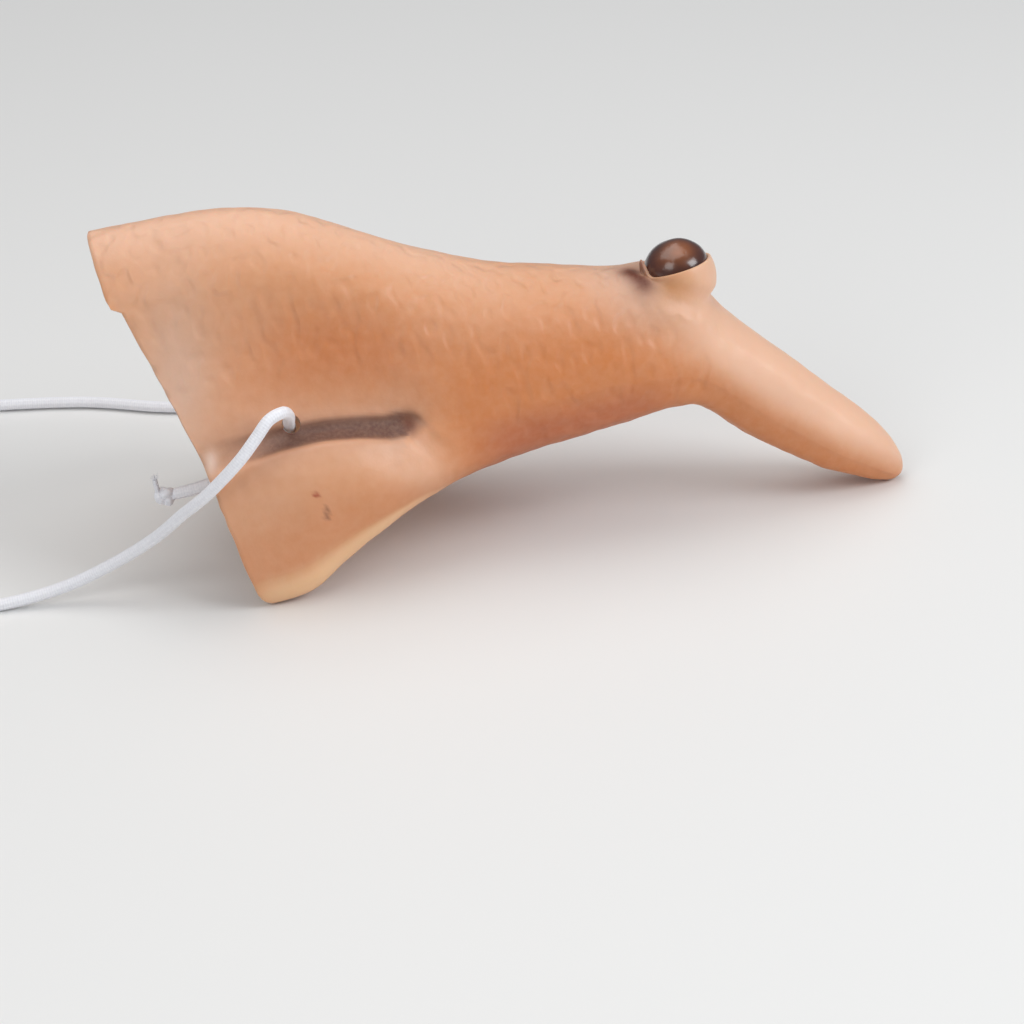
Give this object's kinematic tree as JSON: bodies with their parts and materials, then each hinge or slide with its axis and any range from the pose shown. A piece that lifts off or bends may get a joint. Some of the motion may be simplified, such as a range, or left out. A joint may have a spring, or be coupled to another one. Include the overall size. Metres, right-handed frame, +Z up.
{
  "type": "fancy dress nose",
  "caption": "Hollow moulded long hooked nose with a wart on its bend, a glossy cap on the wart and an elastic head cord knotted through a hole in each wing.",
  "frame": {"origin": "on the table under the middle of the nose, as it rests on its tip and its two wing corners", "axes": "+X from the rim towards the tip, +Y across the nose, +Z up from the table"},
  "size_m": [0.2209, 0.0869, 0.0596],
  "materials": {
    "latex_skin": "satin moulded latex, peach with browner hollows",
    "wart_gloss": "dark brown, glossy",
    "white_elastic": "braided round elastic, white"
  },
  "bodies": {
    "root": {"nose_shell": "latex_skin", "wart_cap": "wart_gloss", "elastic_cord": "white_elastic", "cord_knot_near": "white_elastic", "cord_knot_far": "white_elastic"}
  },
  "joints": []
}
